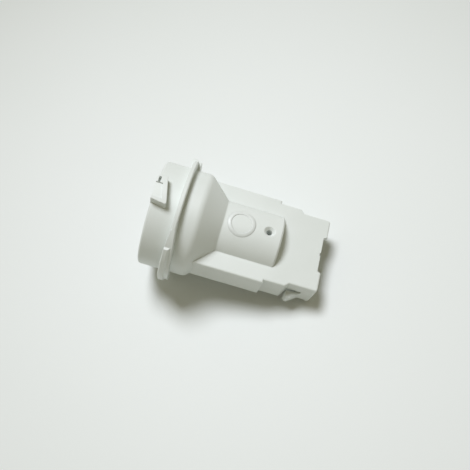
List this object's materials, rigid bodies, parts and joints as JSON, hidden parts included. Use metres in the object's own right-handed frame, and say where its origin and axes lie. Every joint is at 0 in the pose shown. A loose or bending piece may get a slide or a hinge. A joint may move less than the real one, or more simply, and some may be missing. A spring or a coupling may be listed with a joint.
{
  "type": "refrigerator lamp holder",
  "caption": "White moulded lamp holder for a small screw bulb: locking collar with flange, cone and barrel on a flat skirted plate, plug socket with snap fingers at the rear.",
  "frame": {"origin": "On the lamp axis, in the plane of the faces of the two flange stops that rest on the back of the panel.", "axes": "+X runs along the lamp axis from the lamp to the wiring side. +Z is square to the flat plate, out of its smooth top. +Y completes the right-handed frame."},
  "size_m": [0.0498, 0.0358, 0.0346],
  "materials": {
    "moulding": "white moulded thermoplastic, soft sheen",
    "shell_brass": "rolled sheet, lightly plated",
    "terminal": "tinned stamped sheet",
    "leaf_bronze": "bare spring bronze strip",
    "rivet": "plain turned"
  },
  "bodies": {
    "holder": {"housing": "moulding", "screw_shell": "shell_brass", "shell_rivets": "rivet", "shell_terminal": "terminal", "centre_terminal": "terminal", "leaf_rivet": "rivet"},
    "centre_contact": {"contact_leaf": "leaf_bronze", "contact_button": "rivet"}
  },
  "joints": [
    {"name": "centre_contact_flex", "type": "hinge", "parent": "holder", "child": "centre_contact", "pos_m": [0.02665, 0.0029, 0], "axis": [0, 0, 1], "range_deg": [0, 20], "stiffness_Nm_per_rad": 0.04, "deforming": ["contact_leaf"]}
  ]
}
